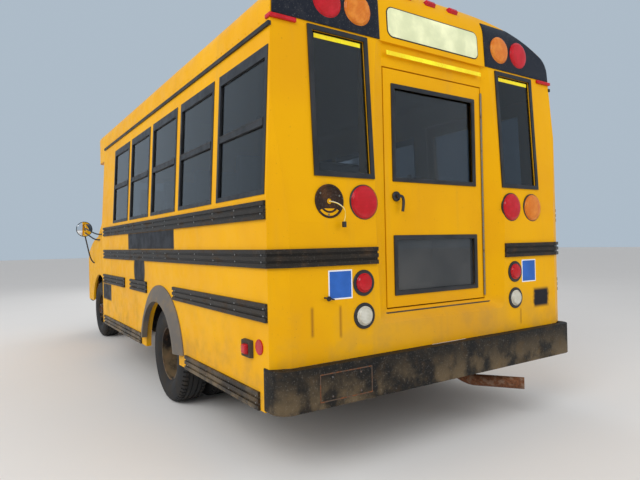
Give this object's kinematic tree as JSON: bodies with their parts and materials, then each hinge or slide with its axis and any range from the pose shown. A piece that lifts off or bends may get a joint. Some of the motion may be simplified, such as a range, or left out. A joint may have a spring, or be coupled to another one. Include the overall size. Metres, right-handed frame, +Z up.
{
  "type": "short school bus",
  "caption": "Short school bus body on a van cutaway chassis, with twin rear wheels, recessed rear emergency door, split-sash windows, rub rails and opening doors.",
  "frame": {"origin": "on the ground under the middle of the overall box", "axes": "+X forward, +Y to the vehicle's left, +Z up"},
  "size_m": [6.29, 2.48, 2.74],
  "materials": {
    "body_paint": "school bus yellow enamel, chalky and scuffed, brighter at the corners",
    "trim_black": "black anodised frames and rubber",
    "rail_black": "black paint worn brown on ribbed steel",
    "panel_black": "satin black lamp panels",
    "flare_rubber": "weathered grey rubber",
    "bumper_black": "scuffed black steel with dust",
    "floor_rubber": "ribbed black floor covering",
    "chassis_black": "dusty black chassis paint",
    "engine_grey": "bare casting",
    "tank_steel": "dark dusty steel",
    "exhaust_steel": "rusted pipe",
    "window_glass": "tinted safety glass",
    "lens_red": "moulded red lens",
    "lens_amber": "moulded amber lens",
    "lens_clear": "moulded clear lens",
    "seat_vinyl": "dark padded vinyl",
    "seat_steel": "black tube and plate",
    "dash_plastic": "grained grey plastic",
    "grille_black": "moulded black grille",
    "mirror_black": "black mirror heads",
    "handle_grey": "dark grey cast lever",
    "tyre_rubber": "dusty tyre rubber",
    "rim_paint": "black steel wheels with dust and rust"
  },
  "bodies": {
    "root": {"amber_lenses": "lens_amber", "bench_pads": "seat_vinyl", "body_glass": "window_glass", "cab_shell": "body_paint", "chassis_frame": "chassis_black", "clear_lenses": "lens_clear", "dashboard": "dash_plastic", "driver_seat": "seat_vinyl", "engine_block": "engine_grey", "exhaust": "exhaust_steel", "floor_deck": "floor_rubber", "front_axle": "chassis_black", "front_bumper": "bumper_black", "front_cap": "body_paint", "fuel_tank": "tank_steel", "grille": "grille_black", "lamp_panels": "panel_black", "mirrors": "mirror_black", "rear_axle": "chassis_black", "rear_bumper": "bumper_black", "rear_wall": "body_paint", "red_lenses": "lens_red", "roof": "body_paint", "rub_rails": "rail_black", "seat_frames": "seat_steel", "side_wall_left": "body_paint", "side_wall_right": "body_paint", "wheel_flares": "flare_rubber", "wheel_housings": "chassis_black", "window_frames": "trim_black"},
    "knuckle_left": {"knuckle_left": "chassis_black"},
    "knuckle_right": {"knuckle_right": "chassis_black"},
    "wheel_front_left": {"tyre_front_left": "tyre_rubber", "rim_front_left": "rim_paint"},
    "wheel_front_right": {"tyre_front_right": "tyre_rubber", "rim_front_right": "rim_paint"},
    "wheels_rear_left": {"tyres_rear_left": "tyre_rubber", "rims_rear_left": "rim_paint"},
    "wheels_rear_right": {"tyres_rear_right": "tyre_rubber", "rims_rear_right": "rim_paint"},
    "driver_door": {"driver_door": "body_paint", "driver_door_glass": "window_glass"},
    "rear_door": {"rear_door": "body_paint", "rear_door_glass": "window_glass", "rear_door_handle": "handle_grey"},
    "lift_door": {"lift_door": "body_paint", "lift_door_glass": "window_glass"},
    "entrance_front": {"entrance_leaf_front": "trim_black", "entrance_leaf_front_glass": "window_glass"},
    "entrance_rear": {"entrance_leaf_rear": "trim_black", "entrance_leaf_rear_glass": "window_glass"},
    "bonnet": {"bonnet": "body_paint"}
  },
  "joints": [
    {"name": "steer_left", "type": "hinge", "parent": "root", "child": "knuckle_left", "pos_m": [2.27, 0.722, 0.365], "axis": [0, 0, 1], "range_deg": [-32, 32]},
    {"name": "steer_right", "type": "hinge", "parent": "root", "child": "knuckle_right", "pos_m": [2.27, -0.722, 0.365], "axis": [0, 0, 1], "range_deg": [-32, 32]},
    {"name": "wheel_front_left_spin", "type": "hinge", "parent": "knuckle_left", "child": "wheel_front_left", "pos_m": [2.27, 0.8725, 0.365], "axis": [0, 1, 0], "continuous": true},
    {"name": "wheel_front_right_spin", "type": "hinge", "parent": "knuckle_right", "child": "wheel_front_right", "pos_m": [2.27, -0.8725, 0.365], "axis": [0, 1, 0], "continuous": true},
    {"name": "wheels_rear_left_spin", "type": "hinge", "parent": "root", "child": "wheels_rear_left", "pos_m": [-1.235, 0.9165, 0.365], "axis": [0, 1, 0], "continuous": true},
    {"name": "wheels_rear_right_spin", "type": "hinge", "parent": "root", "child": "wheels_rear_right", "pos_m": [-1.235, -0.9165, 0.365], "axis": [0, 1, 0], "continuous": true},
    {"name": "driver_door_hinge", "type": "hinge", "parent": "root", "child": "driver_door", "pos_m": [1.821, 0.989, 1.25], "axis": [0, 0, -1], "range_deg": [0, 65]},
    {"name": "rear_door_hinge", "type": "hinge", "parent": "root", "child": "rear_door", "pos_m": [-2.976, -0.419, 1.5], "axis": [0, 0, 1], "range_deg": [0, 110]},
    {"name": "lift_door_hinge", "type": "hinge", "parent": "root", "child": "lift_door", "pos_m": [-2.834, -1.203, 1.4], "axis": [0, 0, -1], "range_deg": [0, 95]},
    {"name": "entrance_front_hinge", "type": "hinge", "parent": "root", "child": "entrance_front", "pos_m": [1.828, -1.049, 1.2], "axis": [0, 0, 1], "range_deg": [0, 88]},
    {"name": "entrance_rear_hinge", "type": "hinge", "parent": "root", "child": "entrance_rear", "pos_m": [0.952, -1.049, 1.2], "axis": [0, 0, -1], "range_deg": [0, 88]},
    {"name": "bonnet_hinge", "type": "hinge", "parent": "root", "child": "bonnet", "pos_m": [2.425, 0, 1.328], "axis": [0, -1, 0], "range_deg": [0, 50]}
  ],
  "couplings": [
    {"joint": "steer_right", "follows": "steer_left", "ratio": 1}
  ]
}
